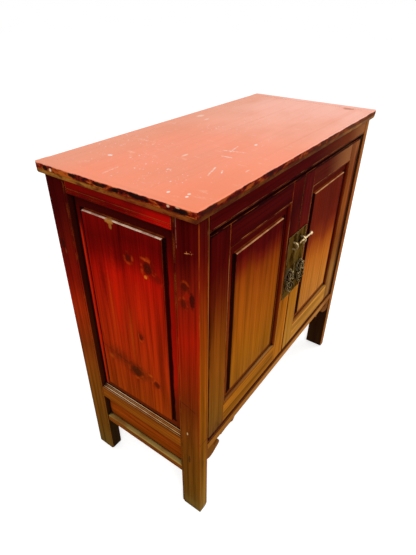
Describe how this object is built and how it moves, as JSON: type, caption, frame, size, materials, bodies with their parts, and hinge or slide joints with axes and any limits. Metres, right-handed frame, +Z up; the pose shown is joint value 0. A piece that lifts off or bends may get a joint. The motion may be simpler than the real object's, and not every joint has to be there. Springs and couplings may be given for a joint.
{
  "type": "kang cabinet",
  "caption": "Low two-door cabinet on square legs with raised panels, a moulded mitred top, a carved apron under the front and a brass lock set with hanging pulls.",
  "frame": {"origin": "on the floor, under the middle of the cabinet's overall outline (bottom centre of the bounding box); the top's front edge and the lock set reach further forward than anything reaches back, so the middle between the front and rear posts is at y = +9 mm", "axes": "+Z up, -Y towards the front (the doors), +X to the right seen from the front"},
  "size_m": [0.835, 0.3886, 0.86],
  "materials": {
    "frame_lacquer": "worn red-brown lacquer over wood, semi-gloss, wearing to orange-brown low down and on the edges",
    "panel_lacquer": "worn red to orange-brown lacquer with upright grain, semi-gloss",
    "top_lacquer": "red lacquer with a pale sheen and small white scratches",
    "edge_lacquer": "dark red lacquer chipped to black and ochre",
    "bare_wood": "plain unlacquered softwood, brown with age",
    "brass": "aged brass, dark olive with brighter rubbed edges"
  },
  "bodies": {
    "cabinet": {"front_left_post": "frame_lacquer", "front_right_post": "frame_lacquer", "rear_left_post": "frame_lacquer", "rear_right_post": "frame_lacquer", "front_top_rail": "frame_lacquer", "front_bottom_rail": "frame_lacquer", "front_apron": "frame_lacquer", "rear_top_rail": "bare_wood", "rear_bottom_rail": "bare_wood", "left_side_top_rail": "frame_lacquer", "right_side_top_rail": "frame_lacquer", "left_side_mid_rail": "frame_lacquer", "right_side_mid_rail": "frame_lacquer", "left_side_stretcher": "frame_lacquer", "right_side_stretcher": "frame_lacquer", "left_side_panel": "panel_lacquer", "right_side_panel": "panel_lacquer", "left_lower_panel": "panel_lacquer", "right_lower_panel": "panel_lacquer", "back_board_left": "bare_wood", "back_board_middle": "bare_wood", "back_board_right": "bare_wood", "floor_board_front": "bare_wood", "floor_board_rear": "bare_wood", "floor_bearer_left": "bare_wood", "floor_bearer_right": "bare_wood", "shelf": "bare_wood", "shelf_bearer_left": "bare_wood", "shelf_bearer_right": "bare_wood", "top_front_edge": "edge_lacquer", "top_rear_edge": "edge_lacquer", "top_left_edge": "edge_lacquer", "top_right_edge": "edge_lacquer", "top_board_front": "top_lacquer", "top_board_middle": "top_lacquer", "top_board_rear": "top_lacquer", "top_batten_left": "bare_wood", "top_batten_right": "bare_wood"},
    "left_door": {"left_door_hinge_stile": "frame_lacquer", "left_door_lock_stile": "frame_lacquer", "left_door_top_rail": "frame_lacquer", "left_door_bottom_rail": "frame_lacquer", "left_door_panel": "panel_lacquer", "left_lock_plate": "brass", "left_lock_loop": "brass", "left_pull_boss": "brass", "left_pull_eye": "brass"},
    "right_door": {"right_door_hinge_stile": "frame_lacquer", "right_door_lock_stile": "frame_lacquer", "right_door_top_rail": "frame_lacquer", "right_door_bottom_rail": "frame_lacquer", "right_door_panel": "panel_lacquer", "right_lock_plate": "brass", "right_lock_loop": "brass", "right_pull_boss": "brass", "right_pull_eye": "brass"},
    "lock_pin": {"lock_pin": "brass"},
    "left_pull": {"left_pull": "brass"},
    "right_pull": {"right_pull": "brass"}
  },
  "joints": [
    {"name": "left_door_hinge", "type": "hinge", "parent": "cabinet", "child": "left_door", "pos_m": [-0.3585, -0.1635, 0.3], "axis": [0, 0, -1], "range_deg": [0, 95]},
    {"name": "right_door_hinge", "type": "hinge", "parent": "cabinet", "child": "right_door", "pos_m": [0.3585, -0.1635, 0.3], "axis": [0, 0, 1], "range_deg": [0, 95]},
    {"name": "lock_pin_slide", "type": "slide", "parent": "right_door", "child": "lock_pin", "axis": [1, 0, 0], "range_m": [-0.04, 0.024]},
    {"name": "left_pull_hinge", "type": "hinge", "parent": "left_door", "child": "left_pull", "pos_m": [-0.03, -0.185, 0.553], "axis": [-1, 0, 0], "range_deg": [0, 100]},
    {"name": "right_pull_hinge", "type": "hinge", "parent": "right_door", "child": "right_pull", "pos_m": [0.03, -0.185, 0.553], "axis": [-1, 0, 0], "range_deg": [0, 100]}
  ]
}
